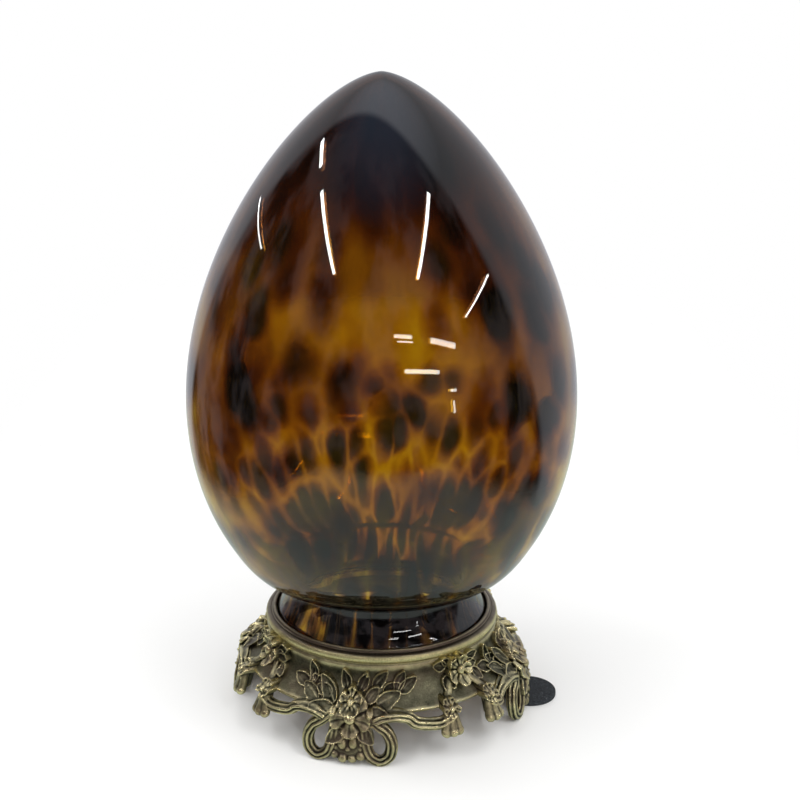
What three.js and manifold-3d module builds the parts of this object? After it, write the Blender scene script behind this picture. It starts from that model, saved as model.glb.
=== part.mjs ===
// Tortoiseshell glass egg on a cast brass stand, in millimetres, +Z up.
// The origin is on the table, on the axis of the egg. The front of the stand faces -Y.

import * as THREE from 'three';
import { mergeVertices } from 'three/addons/utils/BufferGeometryUtils.js';
import Module from 'manifold-3d';

const wasm = await Module();
wasm.setup();

// Glass egg, blown in one piece with its neck and flared foot
const totalHeight = 355.6;
const eggDiameter = 215;
const glassWall = 5;
const neckDiameter = 108;
const neckHeight = 77;
const neckFillet = 3.5;
const undersideDepth = 23.6;

// Cast stand
const rimHeight = 56.8;
const lipDiameter = 121.6;
const rimDiameter = 133.6;
const beadHeight = 4.2;
const filletRollHeight = 3.4;
const skirtEdgeHeight = 28;
const skirtDiameter = 155.6;
const castWall = 3.4;
const ledgeDepth = 5.5;
const ledgeWidth = 9;
const footCircle = 168;

// Straps, paws and flowers of the stand
// The bouquets stand at the front, back and sides. The garlands lie this far from the front and back.
const bouquetAngles = [0, 90, 180, 270];
const garlandAngle = 48.8;
const strapWidth = 5.2;
const pawWidth = 10.5;
const pawBottomHeight = 13.4;
const pawTopHeight = 29;
const pawSpacing = 25.6;
const bigFlowerDiameter = 21;
const upperFlowerDiameter = 13;
const garlandFlowerDiameter = 16.5;
const pawFlowerDiameter = 9.5;

// Felt pad that packs up one foot
const padDiameter = 32;
const padThickness = 3;
const padAngle = 98.8;

// Fits
const seatGap = 0.3;
const glassClearance = 0.6;
const padGap = 0.3;

// Facets
const eggFacets = 28;
const castFacets = 32;

const glassMaterial = new THREE.MeshStandardMaterial({ color: 0x5a2f0c, roughness: 0.04, metalness: 0 });
glassMaterial.name = 'tortoiseshell_glass';
const brassMaterial = new THREE.MeshStandardMaterial({ color: 0x7d7358, roughness: 0.42, metalness: 1 });
brassMaterial.name = 'antique_brass';
const feltMaterial = new THREE.MeshStandardMaterial({ color: 0x1d2126, roughness: 0.95, metalness: 0 });
feltMaterial.name = 'black_felt';

const radians = THREE.MathUtils.degToRad;
const ledgeHeight = rimHeight - ledgeDepth;
const glassFootRadius = lipDiameter / 2 - glassClearance;

// Egg: one closed revolution, outside from the tip to the foot, then back up the inside

// Radius of the egg at a share of its length, 0 at the tip and 1 at the closed end it would have
const tipPower = 0.6236;
const endPower = 0.4379;
const widest = tipPower / (tipPower + endPower);

function eggRadiusAt(share) {
  const shoulder = -0.302;
  const tip = (share / widest) ** tipPower;
  const end = ((1 - share) / (1 - widest)) ** endPower;
  return (eggDiameter / 2) * tip * end * (1 + shoulder * (share - widest) ** 2);
}

// Points from the tip to the foot, with the given number of steps on each stretch
function eggOutline({ upperSteps, lowerSteps, undersideSteps, filletSteps, flareSteps }) {
  const lastShare = 0.845;
  const closedEnd = neckHeight - undersideDepth;
  const length = totalHeight - closedEnd;
  const shares = [];
  for (let i = 0; i < upperSteps; i += 1) {
    shares.push(widest * (i / upperSteps) ** 1.6);
  }
  for (let i = 0; i <= lowerSteps; i += 1) {
    shares.push(widest + ((lastShare - widest) * i) / lowerSteps);
  }
  const outline = shares.map(
    (share) => new THREE.Vector2(eggRadiusAt(share), totalHeight - length * share),
  );
  const neckRadius = neckDiameter / 2;
  const bodyEnd = outline.at(-1);
  const slope = bodyEnd.clone().sub(outline.at(-2)).normalize();
  const filletStart = new THREE.Vector2(neckRadius + neckFillet, neckHeight + neckFillet * 0.4);
  const reach = bodyEnd.distanceTo(filletStart) / 2.6;
  const underside = new THREE.CubicBezierCurve(
    bodyEnd,
    bodyEnd.clone().addScaledVector(slope, reach),
    filletStart.clone().add(new THREE.Vector2(reach, reach * 0.07)),
    filletStart,
  );
  outline.push(...underside.getPoints(undersideSteps).slice(1));
  const filletEnd = new THREE.Vector2(neckRadius, neckHeight - neckFillet);
  const fillet = new THREE.QuadraticBezierCurve(
    filletStart,
    new THREE.Vector2(neckRadius, neckHeight + neckFillet * 0.29),
    filletEnd,
  );
  outline.push(...fillet.getPoints(filletSteps).slice(1));
  const footTop = new THREE.Vector2(glassFootRadius, rimHeight - ledgeDepth * 0.18);
  const flare = new THREE.QuadraticBezierCurve(
    filletEnd,
    new THREE.Vector2(neckRadius + neckFillet * 0.17, (filletEnd.y + footTop.y) / 2),
    footTop,
  );
  outline.push(...flare.getPoints(flareSteps).slice(1));
  return outline;
}

// Shifts an outline sideways by the wall, towards the axis and away from the outside
function offsetInwards(outline, wall) {
  return outline.map((point, i) => {
    const before = outline[Math.max(i - 1, 0)];
    const after = outline[Math.min(i + 1, outline.length - 1)];
    const along = after.clone().sub(before).normalize();
    const inner = new THREE.Vector2(point.x + along.y * wall, point.y - along.x * wall);
    return i === 0 ? new THREE.Vector2(0, point.y - wall) : inner;
  });
}

function makeGlassEgg() {
  const outside = eggOutline({
    upperSteps: 7,
    lowerSteps: 3,
    undersideSteps: 4,
    filletSteps: 2,
    flareSteps: 3,
  });
  const insideOutline = eggOutline({
    upperSteps: 5,
    lowerSteps: 2,
    undersideSteps: 2,
    filletSteps: 1,
    flareSteps: 2,
  });
  const inside = offsetInwards(insideOutline, glassWall);
  const bottom = ledgeHeight + seatGap;
  const profile = [
    ...outside,
    new THREE.Vector2(glassFootRadius, bottom),
    new THREE.Vector2(inside.at(-1).x, bottom),
    ...inside.reverse(),
  ];
  profile[0].x = 0;
  return turned(profile, eggFacets);
}

// Helpers for closed solids

// A closed profile, listed clockwise in the half plane, turned about the Z axis
function turned(profile, facets) {
  const geometry = new THREE.LatheGeometry(profile, facets);
  geometry.rotateX(Math.PI / 2);
  return outwards(welded(geometry));
}

function welded(geometry) {
  const bare = geometry.clone();
  bare.deleteAttribute('normal');
  bare.deleteAttribute('uv');
  return withoutSlivers(mergeVertices(bare, 1e-4));
}

// Drops the faces that closed up at a pole when their corners were merged
function withoutSlivers(geometry) {
  const index = geometry.index.array;
  const kept = [];
  for (let i = 0; i < index.length; i += 3) {
    const [a, b, c] = [index[i], index[i + 1], index[i + 2]];
    if (a !== b && b !== c && c !== a) {
      kept.push(a, b, c);
    }
  }
  geometry.setIndex(kept);
  return geometry;
}

// Turns every face round if the solid came out inside out
function outwards(geometry) {
  const index = geometry.index.array;
  const position = geometry.attributes.position;
  const [a, b, c] = [new THREE.Vector3(), new THREE.Vector3(), new THREE.Vector3()];
  let volume = 0;
  for (let i = 0; i < index.length; i += 3) {
    a.fromBufferAttribute(position, index[i]);
    b.fromBufferAttribute(position, index[i + 1]);
    c.fromBufferAttribute(position, index[i + 2]);
    volume += a.dot(b.cross(c));
  }
  if (volume < 0) {
    geometry.setIndex(Array.from(index).reverse());
  }
  return geometry;
}

// Skin over a row of rings of points, closed by a point at each end
function skinned(first, rings, last) {
  const count = rings[0].length;
  const points = [first, ...rings.flat(), last];
  const end = points.length - 1;
  const index = [];
  for (let i = 0; i < count; i += 1) {
    const j = (i + 1) % count;
    index.push(0, 1 + j, 1 + i);
    for (let k = 1; k < end - count; k += count) {
      index.push(k + i, k + j, k + count + j, k + i, k + count + j, k + count + i);
    }
    index.push(end - count + i, end - count + j, end);
  }
  const geometry = new THREE.BufferGeometry().setFromPoints(points);
  geometry.setIndex(index);
  return outwards(geometry);
}

function toManifold(geometry) {
  const vertProperties = new Float32Array(geometry.attributes.position.array);
  const triVerts = new Uint32Array(geometry.index.array);
  return new wasm.Manifold(new wasm.Mesh({ numProp: 3, vertProperties, triVerts }));
}

function fromManifold(solid) {
  const mesh = solid.getMesh();
  const geometry = new THREE.BufferGeometry();
  geometry.setAttribute('position', new THREE.BufferAttribute(mesh.vertProperties, 3));
  geometry.setIndex(Array.from(mesh.triVerts));
  geometry.computeVertexNormals();
  return geometry;
}

// Stand: rim, ledge and hollow skirt turned in one profile

const skirtTopHeight = rimHeight - ledgeDepth - beadHeight - filletRollHeight;
const skirtTopRadius = rimDiameter / 2 - beadHeight * 0.21;

// Radius of the outer face that the ornament lies on: the flared skirt, then the line of the feet
function faceRadiusAt(height) {
  const skirtRadius = skirtDiameter / 2;
  if (height >= skirtEdgeHeight) {
    const fall = THREE.MathUtils.clamp(
      (skirtTopHeight - height) / (skirtTopHeight - skirtEdgeHeight),
      0,
      1,
    );
    return skirtTopRadius + (skirtRadius - skirtTopRadius) * fall ** 1.6;
  }
  const drop = (skirtEdgeHeight - height) / skirtEdgeHeight;
  return skirtRadius + (footCircle / 2 - skirtRadius) * Math.sin((drop * Math.PI) / 2);
}

function skirtFace(heightShares, thickness) {
  return heightShares.map((share) => {
    const height = skirtTopHeight + (skirtEdgeHeight - skirtTopHeight) * share;
    return new THREE.Vector2(faceRadiusAt(height) - thickness, height - thickness * share * 0.3);
  });
}

function makeStandRing() {
  const rim = rimDiameter / 2;
  const lip = lipDiameter / 2;
  const beadTop = ledgeHeight + beadHeight * 0.43;
  const beadBottom = beadTop - beadHeight;
  const rollBottom = beadBottom - filletRollHeight;
  const profile = [
    new THREE.Vector2(lip - ledgeWidth, ledgeHeight),
    new THREE.Vector2(lip, ledgeHeight),
    new THREE.Vector2(lip, rimHeight - castWall * 0.18),
    new THREE.Vector2(lip + castWall * 0.2, rimHeight),
    new THREE.Vector2(rim - beadHeight * 0.86, beadTop + beadHeight * 0.21),
    new THREE.Vector2(rim - beadHeight * 0.38, beadTop + beadHeight * 0.1),
    new THREE.Vector2(rim, beadTop - beadHeight * 0.5),
    new THREE.Vector2(rim - beadHeight * 0.45, beadBottom),
    new THREE.Vector2(rim - filletRollHeight * 0.15, beadBottom - filletRollHeight * 0.5),
    new THREE.Vector2(skirtTopRadius, rollBottom),
    ...skirtFace([0.45, 0.78, 1], 0),
    ...skirtFace([1, 0.6, 0], castWall),
    new THREE.Vector2(lip - ledgeWidth, ledgeHeight - castWall),
  ];
  profile.push(profile[0].clone());
  return turned(profile, castFacets);
}

// Ornament, laid out as x along the skirt, height, and how far it stands out from the face

// It is drawn on a grid with this many divisions to the layout radius
const layoutRadius = 76;
const gridDivisions = 76;
const grid = layoutRadius / gridDivisions;

function onGrid(values) {
  return values.map((value) => value * grid);
}

function onStand(x, height, out) {
  const angle = x / layoutRadius;
  const radius = faceRadiusAt(height) + out;
  return new THREE.Vector3(radius * Math.sin(angle), -radius * Math.cos(angle), height);
}

// Pointed leaf from its root to its tip, with a raised middle
const leafRoot = grid;

function makeLeaf({ root, tip, width, lift = 2.4 }) {
  const [rootX, rootZ] = onGrid(root);
  const [tipX, tipZ] = onGrid(tip);
  const [across, middleLift, rimLift] = onGrid([width * 0.56, lift, lift * 0.7]);
  const length = Math.hypot(tipX - rootX, tipZ - rootZ);
  const [alongX, alongZ] = [(tipX - rootX) / length, (tipZ - rootZ) / length];
  const at = (along, aside, out) => onStand(
    rootX + alongX * along - alongZ * aside,
    rootZ + alongZ * along + alongX * aside,
    out,
  );
  const ring = [
    at(0, 0, rimLift),
    at(length * 0.48, across, rimLift),
    at(length, 0, rimLift),
    at(length * 0.48, -across, rimLift),
  ];
  return skinned(at(length * 0.5, 0, -leafRoot), [ring], at(length * 0.5, 0, middleLift));
}

// Five petals round a raised eye
function makeFlower({ place, diameter, turn = 0 }) {
  const [x, height, lift] = onGrid(place);
  const petals = 5;
  const ring = [];
  for (let i = 0; i < petals * 2; i += 1) {
    const reach = i % 2 === 0 ? diameter / 2 : diameter * 0.3;
    const angle = (i * Math.PI) / petals + turn;
    const out = i % 2 === 0 ? lift : lift * 0.75;
    ring.push(onStand(x + reach * Math.sin(angle), height + reach * Math.cos(angle), out));
  }
  const petalDisc = skinned(onStand(x, height, -1.4 * grid), [ring], onStand(x, height, lift + 0.4 * grid));
  return [petalDisc, makeEye({ x, height, diameter: diameter * 0.24, out: lift + 0.5 * grid })];
}

function makeEye({ x, height, diameter, out }) {
  const eye = new THREE.OctahedronGeometry(diameter / 2, 0);
  const centre = onStand(x, height, out);
  eye.translate(centre.x, centre.y, centre.z);
  return outwards(welded(eye));
}

// Reeded strap through a row of [x, height, out] points
function makeStrap(points, steps) {
  const path = new THREE.CatmullRomCurve3(points.map(([x, height, out]) => onStand(x, height, out)));
  const half = strapWidth / 2;
  const section = new THREE.Shape();
  const sides = 5;
  for (let i = 0; i < sides; i += 1) {
    const angle = (i * 2 * Math.PI) / sides;
    const [u, v] = [half * Math.cos(angle), half * Math.sin(angle)];
    if (i === 0) {
      section.moveTo(u, v);
    } else {
      section.lineTo(u, v);
    }
  }
  section.closePath();
  const strap = new THREE.ExtrudeGeometry(section, { extrudePath: path, steps, curveSegments: 1 });
  return outwards(welded(strap));
}

// Hanging paw: a narrow top under its flower, three toes that spread at the bottom
function makePaw(x, mirror) {
  const toeSplay = pawWidth * 0.04;
  const rings = [
    { height: pawTopHeight, width: 0.55, depth: 0.48, out: 0.06 },
    { height: pawBottomHeight + pawWidth * 0.38, width: 0.94, depth: 0.67, out: 0.14 },
    { height: pawBottomHeight, width: 0.8, depth: 0.53, out: 0.17 },
  ].map(({ height, ...shares }) => {
    const [width, depth, out] = [shares.width, shares.depth, shares.out].map((share) => share * pawWidth);
    const lean = toeSplay * (1 - (height - pawBottomHeight) / (pawTopHeight - pawBottomHeight));
    const centre = x + mirror * lean;
    return [
      onStand(centre - width / 2, height, out - depth * 0.2),
      onStand(centre - width * 0.3, height, out + depth * 0.46),
      onStand(centre, height, out + depth * 0.36),
      onStand(centre + width * 0.3, height, out + depth * 0.46),
      onStand(centre + width / 2, height, out - depth * 0.2),
      onStand(centre, height, out - depth * 0.5),
    ];
  });
  return skinned(
    onStand(x, pawTopHeight + pawWidth * 0.1, pawWidth * 0.06),
    rings,
    onStand(x + mirror * toeSplay, pawBottomHeight - pawWidth * 0.06, pawWidth * 0.17),
  );
}

// Leaf sprays that fan out behind the bouquet's flowers, as tips and the notches between them
const leafSprays = [
  {
    crest: [-19, 35],
    outline: [
      [-8, 29], [-19, 30.5], [-29, 33.5], [-24.5, 35], [-38, 39], [-27, 39.5], [-28, 47], [-20.5, 38.5],
      [-19.5, 42.5], [-10, 37],
    ],
  },
  {
    crest: [19, 35.5],
    outline: [
      [8, 37], [11, 38], [20, 46], [20.5, 38.5], [30, 46.5], [28, 39.5], [37.5, 42], [26, 36], [27, 34],
      [16, 30.5], [8, 29],
    ],
  },
  { crest: [0, 39.5], outline: [[-5, 34], [-7, 46.5], [0, 41], [8, 45.5], [5, 34]] },
];

// Single leaves of the bouquet
const bouquetLeaves = [
  { root: [-8, 28.5], tip: [-21, 29], width: 5.5, lift: 3 },
  { root: [8, 29], tip: [19, 28.5], width: 6.5, lift: 3 },
];

function makeSpray({ crest, outline }) {
  const [x, height] = onGrid(crest);
  const [edgeLift, crestLift] = onGrid([2.2, 3.1]);
  const ring = outline.map((point) => onStand(...onGrid(point), edgeLift));
  return skinned(onStand(x, height, -leafRoot), [ring], onStand(x, height, crestLift));
}

function makeLobe() {
  const outline = [
    [-5.5, 31], [-5, 20], [-9.5, 13], [-7.5, 11], [-9.5, 4.5], [-4, 2.2], [3, 2], [9.5, 5], [8, 11.5],
    [11, 14.5], [5.5, 20], [5.5, 31],
  ];
  const ring = outline.map(([x, height]) => onStand(...onGrid([x, height, 0.6])));
  return skinned(onStand(...onGrid([0, 12, -2])), [ring], onStand(...onGrid([0, 12, 2.4])));
}

// A loop leaves the bouquet, swings out and down to the table, and comes back to the stem
function footLoop(side) {
  return makeStrap(
    [
      [side * 6, 14, 0],
      [side * 10, 4.4, 0],
      [side * 16, 0.2, 0],
      [side * 21.8, 5.6, 0],
      [side * 21.6, 14.5, 0],
      [side * 15.5, 21.5, 0],
      [side * 10, 29, 0.4],
    ].map(onGrid),
    8,
  );
}

// The stem runs along the skirt's edge, sags clear of it and joins the nearer paw of the garland
function sideStem(side, toGarland) {
  const pawX = (radians(toGarland) * layoutRadius - pawSpacing / 2) / grid;
  return makeStrap(
    [
      [side * 17, 26, 1.4],
      [side * 25, 26.6, 1.2],
      [side * 33, 24.6, 0],
      [side * (pawX - 8), 21.6, 0],
      [side * (pawX - 0.5), 23.4, 0],
    ].map(onGrid),
    4,
  );
}

function bouquetSolids(toGarland) {
  return [
    makeLobe(),
    footLoop(-1),
    footLoop(1),
    sideStem(-1, toGarland),
    sideStem(1, toGarland),
    ...leafSprays.map(makeSpray),
    ...bouquetLeaves.map(makeLeaf),
    ...makeFlower({ place: [0.8, 25.6, 4.2], diameter: bigFlowerDiameter, turn: Math.PI }),
    ...makeFlower({ place: [0, 33.4, 4.6], diameter: upperFlowerDiameter }),
  ];
}

// Garland between two bouquets: a flower under the rim, leaves, and a flower on each paw
const garlandLeaves = [
  { root: [7, 45], tip: [16, 47.5], width: 5.5, lift: 3 },
  { root: [6, 44], tip: [15.5, 41], width: 5, lift: 3 },
  { root: [-8, 45], tip: [-16, 47], width: 6, lift: 2.6 },
  { root: [-8, 39.5], tip: [-10.5, 33.5], width: 5.5, lift: 2.6 },
  { root: [11.5, 38.5], tip: [15.5, 33.5], width: 5, lift: 2.6 },
];

function garlandSolids() {
  const solids = [
    ...garlandLeaves.map(makeLeaf),
    ...makeFlower({ place: [0, 42.5, 4.6], diameter: garlandFlowerDiameter, turn: 0.4 }),
  ];
  for (const side of [-1, 1]) {
    const x = (side * pawSpacing) / 2;
    solids.push(makePaw(x, side));
    solids.push(
      ...makeFlower({ place: [x / grid, 28.5, 4.6], diameter: pawFlowerDiameter, turn: 0.6 }),
    );
  }
  return solids;
}

function padPlace() {
  const angle = radians(padAngle);
  const reach = footCircle * 0.513;
  return new THREE.Vector3(reach * Math.sin(angle), -reach * Math.cos(angle), padThickness / 2);
}

function makePad(diameter, thickness) {
  const pad = new THREE.CylinderGeometry(diameter / 2, diameter / 2, thickness, 20);
  pad.rotateX(Math.PI / 2);
  return outwards(welded(pad));
}

// Everything below the table, and the room for the pad under one foot, is cut away
function makeStandCuts() {
  const span = footCircle * 2;
  const below = new THREE.BoxGeometry(span, span, span);
  below.translate(0, 0, -span / 2);
  const place = padPlace();
  const padRoom = makePad(padDiameter + padGap * 2, padThickness + padGap * 2);
  padRoom.translate(place.x, place.y, place.z);
  return [outwards(welded(below)), padRoom];
}

function makeCastStand() {
  const [front, right, back, left] = bouquetAngles;
  const motifs = [
    { solids: bouquetSolids(garlandAngle), angles: [front, back] },
    { solids: bouquetSolids(right - garlandAngle), angles: [right, left] },
    {
      solids: garlandSolids(),
      angles: [front + garlandAngle, back - garlandAngle, back + garlandAngle, 360 - garlandAngle],
    },
  ];
  let stand = toManifold(makeStandRing());
  for (const { solids, angles } of motifs) {
    for (const angle of angles) {
      for (const solid of solids) {
        stand = stand.add(toManifold(solid.clone().rotateZ(radians(angle))));
      }
    }
  }
  for (const cut of makeStandCuts()) {
    stand = stand.subtract(toManifold(cut));
  }
  return fromManifold(stand);
}

function named(name, geometry, material) {
  geometry.computeVertexNormals();
  const mesh = new THREE.Mesh(geometry, material);
  mesh.name = name;
  return mesh;
}

const sculpture = new THREE.Group();
sculpture.add(named('glass_egg', makeGlassEgg(), glassMaterial));
sculpture.add(named('cast_stand', makeCastStand(), brassMaterial));
const pad = named('felt_pad', makePad(padDiameter, padThickness), feltMaterial);
pad.position.copy(padPlace());
sculpture.add(pad);

export default sculpture;
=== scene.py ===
import math

import bpy
import numpy as np
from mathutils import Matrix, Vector


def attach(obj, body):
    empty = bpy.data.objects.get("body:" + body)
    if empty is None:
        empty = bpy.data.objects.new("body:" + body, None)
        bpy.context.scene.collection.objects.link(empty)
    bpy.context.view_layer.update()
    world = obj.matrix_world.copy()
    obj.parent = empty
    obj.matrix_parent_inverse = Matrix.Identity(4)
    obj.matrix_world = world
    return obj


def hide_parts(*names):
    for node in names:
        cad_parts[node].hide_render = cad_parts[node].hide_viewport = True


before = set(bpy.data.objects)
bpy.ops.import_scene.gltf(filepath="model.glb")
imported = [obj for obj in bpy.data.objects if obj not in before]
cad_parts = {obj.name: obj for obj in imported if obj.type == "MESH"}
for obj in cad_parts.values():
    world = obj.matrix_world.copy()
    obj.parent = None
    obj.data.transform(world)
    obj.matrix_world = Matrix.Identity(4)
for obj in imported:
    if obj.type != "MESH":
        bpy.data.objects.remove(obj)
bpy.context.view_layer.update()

# Tortoiseshell glass egg on a cast brass stand, metres, on the table, front of the stand facing -Y.
# Outlines and ornament are drawn in millimetres and scaled once, as they become curves or meshes.

mm = 0.001
weldDistance = 2e-6
scene = bpy.context.scene
print("frame loaded")


# Small helpers for node trees

def feed(tree, socket, value):
    if isinstance(value, bpy.types.NodeSocket):
        tree.links.new(value, socket)
    elif value is not None:
        socket.default_value = value


def addNode(tree, kind, inputs=None, **settings):
    node = tree.nodes.new(kind)
    for key, value in settings.items():
        setattr(node, key, value)
    for key, value in (inputs or {}).items():
        feed(tree, node.inputs[key], value)
    return node


def maths(tree, operation, first, second=None):
    return addNode(tree, "ShaderNodeMath", {0: first, 1: second}, operation=operation).outputs[0]


def times(tree, first, second):
    return maths(tree, "MULTIPLY", first, second)


def plus(tree, first, second):
    return maths(tree, "ADD", first, second)


def minus(tree, first, second):
    return maths(tree, "SUBTRACT", first, second)


def movePoints(tree, geometry, **where):
    return addNode(tree, "GeometryNodeSetPosition", {"Geometry": geometry, **where}).outputs[0]


def split(tree, vector):
    return addNode(tree, "ShaderNodeSeparateXYZ", {0: vector}).outputs


def combine(tree, **axes):
    return addNode(tree, "ShaderNodeCombineXYZ", axes).outputs[0]


def vectorMaths(tree, operation, first, second=None, third=None):
    node = addNode(tree, "ShaderNodeVectorMath", {0: first, 2: third}, operation=operation)
    feed(tree, node.inputs["Scale" if operation == "SCALE" else 1], second)
    return node.outputs["Value" if operation in ("DISTANCE", "DOT_PRODUCT") else 0]


def remap(tree, value, low, high, toLow=0.0, toHigh=1.0, smooth=False):
    node = addNode(tree, "ShaderNodeMapRange", {
        "Value": value, "From Min": low, "From Max": high, "To Min": toLow, "To Max": toHigh},
        clamp=True, interpolation_type="SMOOTHSTEP" if smooth else "LINEAR")
    return node.outputs["Result"]


def mixColours(tree, share, first, second, blend="MIX"):
    node = addNode(tree, "ShaderNodeMix", {"Factor": share},
                   data_type="RGBA", blend_type=blend, clamp_factor=True)
    for name, value in (("A", first), ("B", second)):
        socket = [s for s in node.inputs if s.name == name and s.type == "RGBA"][0]
        feed(tree, socket, value if isinstance(value, bpy.types.NodeSocket) else (*value, 1.0))
    return [s for s in node.outputs if s.type == "RGBA"][0]


def newTree(name, inputs):
    tree = bpy.data.node_groups.new(name, "GeometryNodeTree")
    tree.interface.new_socket(name="Geometry", in_out="OUTPUT", socket_type="NodeSocketGeometry")
    for label, kind in inputs:
        tree.interface.new_socket(name=label, in_out="INPUT", socket_type="NodeSocket" + kind)
    return tree, addNode(tree, "NodeGroupInput").outputs, addNode(tree, "NodeGroupOutput")


def finishTree(tree, given, result, geometry):
    realized = addNode(tree, "GeometryNodeRealizeInstances", {0: geometry})
    painted = addNode(tree, "GeometryNodeSetMaterial", {
        "Geometry": realized.outputs[0], "Material": given["Material"]})
    feed(tree, result.inputs[0], painted.outputs[0])


def runTree(name, tree, values):
    holder = bpy.data.objects.new(name, bpy.data.meshes.new(name))
    scene.collection.objects.link(holder)
    modifier = holder.modifiers.new(tree.name, "NODES")
    modifier.node_group = tree
    for item in tree.interface.items_tree:
        if item.in_out == "INPUT" and item.name in values:
            modifier[item.identifier] = values[item.name]
    return settle(holder)


def settle(holder):
    bpy.context.view_layer.update()
    ready = holder.evaluated_get(bpy.context.evaluated_depsgraph_get())
    mesh = bpy.data.meshes.new_from_object(ready)
    holder.modifiers.clear()
    holder.data = mesh
    mesh.name = holder.name
    return holder


def signedVolume(mesh):
    mesh.calc_loop_triangles()
    points = np.zeros(len(mesh.vertices) * 3)
    mesh.vertices.foreach_get("co", points)
    corners = np.zeros(len(mesh.loop_triangles) * 3, int)
    mesh.loop_triangles.foreach_get("vertices", corners)
    a, b, c = points.reshape(-1, 3)[corners.reshape(-1, 3)].transpose(1, 0, 2)
    return float(np.einsum("ij,ij->i", a, np.cross(b, c)).sum()) / 6


def faceOutwards(piece):
    if signedVolume(piece.data) < 0:
        piece.data.flip_normals()
    return piece


# Trees that shape the pieces

def makeTurnedTree():
    tree, given, result = newTree("turnedShape", [
        ("Profile", "Object"), ("Turn Steps", "Int"), ("Wobble", "Float"), ("Wobble Scale", "Float"),
        ("Sharp Angle", "Float"), ("Material", "Material")])
    profile = addNode(tree, "GeometryNodeObjectInfo", {"Object": given["Profile"]})
    size = addNode(tree, "GeometryNodeAttributeDomainSize", {0: profile.outputs["Geometry"]},
                   component="CURVE")
    grid = addNode(tree, "GeometryNodeMeshGrid", {
        "Size X": 1.0, "Size Y": 1.0, "Vertices X": plus(tree, given["Turn Steps"], 1.0),
        "Vertices Y": size.outputs["Point Count"]})
    place = addNode(tree, "GeometryNodeInputPosition")
    axes = split(tree, place.outputs[0])
    angle = times(tree, plus(tree, axes["X"], 0.5), 2 * math.pi)
    last = minus(tree, size.outputs["Point Count"], 1.0)
    station = maths(tree, "ROUND", times(tree, plus(tree, axes["Y"], 0.5), last))
    sample = addNode(tree, "GeometryNodeSampleIndex", {
        "Geometry": profile.outputs["Geometry"], "Value": place.outputs[0],
        "Index": station}, data_type="FLOAT_VECTOR")
    outline = split(tree, sample.outputs[0])
    turned = combine(
        tree, X=times(tree, outline["X"], maths(tree, "SINE", angle)),
        Y=times(tree, outline["X"], times(tree, maths(tree, "COSINE", angle), -1.0)), Z=outline["Z"])
    carried = addNode(tree, "GeometryNodeInputRadius")
    outer = addNode(tree, "GeometryNodeSampleIndex", {
        "Geometry": profile.outputs["Geometry"], "Value": carried.outputs[0],
        "Index": station})
    marked = addNode(tree, "GeometryNodeStoreNamedAttribute", {
        "Geometry": grid.outputs["Mesh"], "Name": "alongSkin",
        "Value": outer.outputs[0]})
    shaped = movePoints(tree, marked.outputs[0], Position=turned)
    merged = addNode(tree, "GeometryNodeMergeByDistance", {
        "Geometry": shaped, "Distance": weldDistance})
    noise = addNode(tree, "ShaderNodeTexNoise", {"Scale": given["Wobble Scale"], "Detail": 1.0})
    inward = times(tree, noise.outputs["Fac"], times(tree, given["Wobble"], -1.0))
    towardsAxis = vectorMaths(tree, "MULTIPLY", place.outputs[0], (1.0, 1.0, 0.0))
    unit = vectorMaths(tree, "NORMALIZE", towardsAxis)
    shift = vectorMaths(tree, "SCALE", unit, inward)
    wobbled = movePoints(tree, merged.outputs[0], Offset=shift)
    edges = addNode(tree, "GeometryNodeInputMeshEdgeAngle")
    rounded = addNode(tree, "GeometryNodeSetShadeSmooth", {"Geometry": wobbled}, domain="FACE")
    soft = maths(tree, "LESS_THAN", edges.outputs["Unsigned Angle"], given["Sharp Angle"])
    smooth = addNode(tree, "GeometryNodeSetShadeSmooth", {
        "Geometry": rounded.outputs[0], "Shade Smooth": soft}, domain="EDGE")
    finishTree(tree, given, result, smooth.outputs[0])
    return tree


def makeStrapTree():
    tree, given, result = newTree("reededStrap", [
        ("Paths", "Object"), ("Strap Width", "Float"), ("Reeds", "Int"), ("Reed Depth", "Float"),
        ("Step Length", "Float"), ("Material", "Material")])
    paths = addNode(tree, "GeometryNodeObjectInfo", {"Object": given["Paths"]})
    bent = addNode(tree, "GeometryNodeCurveSplineType", {
        "Curve": paths.outputs["Geometry"]}, spline_type="CATMULL_ROM")
    fine = addNode(tree, "GeometryNodeSetSplineResolution", {
        "Geometry": bent.outputs[0], "Resolution": bouquet["pathSteps"]})
    stepped = addNode(tree, "GeometryNodeResampleCurve", {
        "Curve": fine.outputs[0], "Length": given["Step Length"]}, mode="LENGTH")
    circle = addNode(tree, "GeometryNodeCurvePrimitiveCircle", {
        "Resolution": bouquet["strapSides"], "Radius": times(tree, given["Strap Width"], 0.5)})
    place = addNode(tree, "GeometryNodeInputPosition")
    factor = addNode(tree, "GeometryNodeSplineParameter")
    turn = times(tree, times(tree, factor.outputs["Factor"], given["Reeds"]), math.pi)
    ridge = maths(tree, "ABSOLUTE", maths(tree, "SINE", turn))
    depth = times(tree, minus(tree, ridge, 1.0), given["Reed Depth"])
    grooved = vectorMaths(tree, "SCALE", place.outputs[0], plus(tree, depth, 1.0))
    reeded = movePoints(tree, circle.outputs["Curve"], Position=grooved)
    swept = addNode(tree, "GeometryNodeCurveToMesh", {
        "Curve": stepped.outputs[0], "Profile Curve": reeded, "Fill Caps": True})
    finishTree(tree, given, result, swept.outputs[0])
    return tree


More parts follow.
